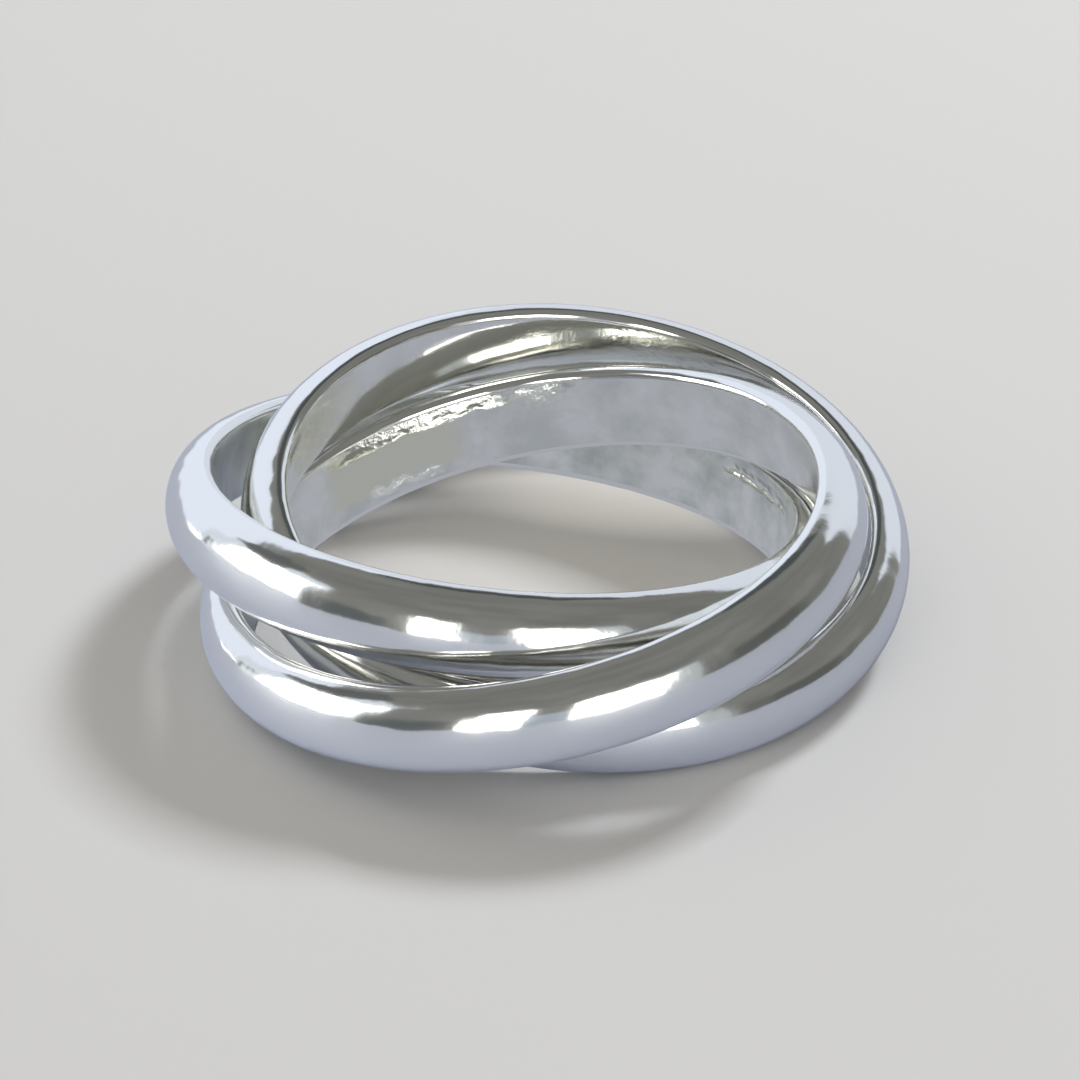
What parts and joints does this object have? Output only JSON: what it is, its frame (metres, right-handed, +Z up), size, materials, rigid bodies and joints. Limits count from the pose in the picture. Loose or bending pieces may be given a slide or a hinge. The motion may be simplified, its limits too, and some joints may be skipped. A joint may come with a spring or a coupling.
{
  "type": "three-band rolling ring",
  "caption": "Finger ring of plain domed silver bands linked through one another, which nest together and roll over each other on the finger.",
  "frame": {"origin": "on the surface the ring lies on, under the middle of its outer size", "axes": "+Z up, along the finger's axis; +Y away from the viewer, +X to the viewer's right"},
  "size_m": [0.0254, 0.0252, 0.0071],
  "materials": {
    "polished_silver": "sterling silver, mirror-polished dome, satin inside"
  },
  "bodies": {
    "left_band": {"band_left": "polished_silver"},
    "front_band": {"band_front": "polished_silver"},
    "right_band": {"band_right": "polished_silver"}
  },
  "joints": [
    {"name": "front_band_turn", "type": "hinge", "parent": "left_band", "child": "front_band", "pos_m": [-0.0002, -0.00112, 0.00353], "axis": [-0.1942, 0.0034, 0.981], "continuous": true},
    {"name": "right_band_turn", "type": "hinge", "parent": "left_band", "child": "right_band", "pos_m": [0.00129, 0.00101, 0.00353], "axis": [0.0942, -0.1699, 0.981], "continuous": true}
  ]
}
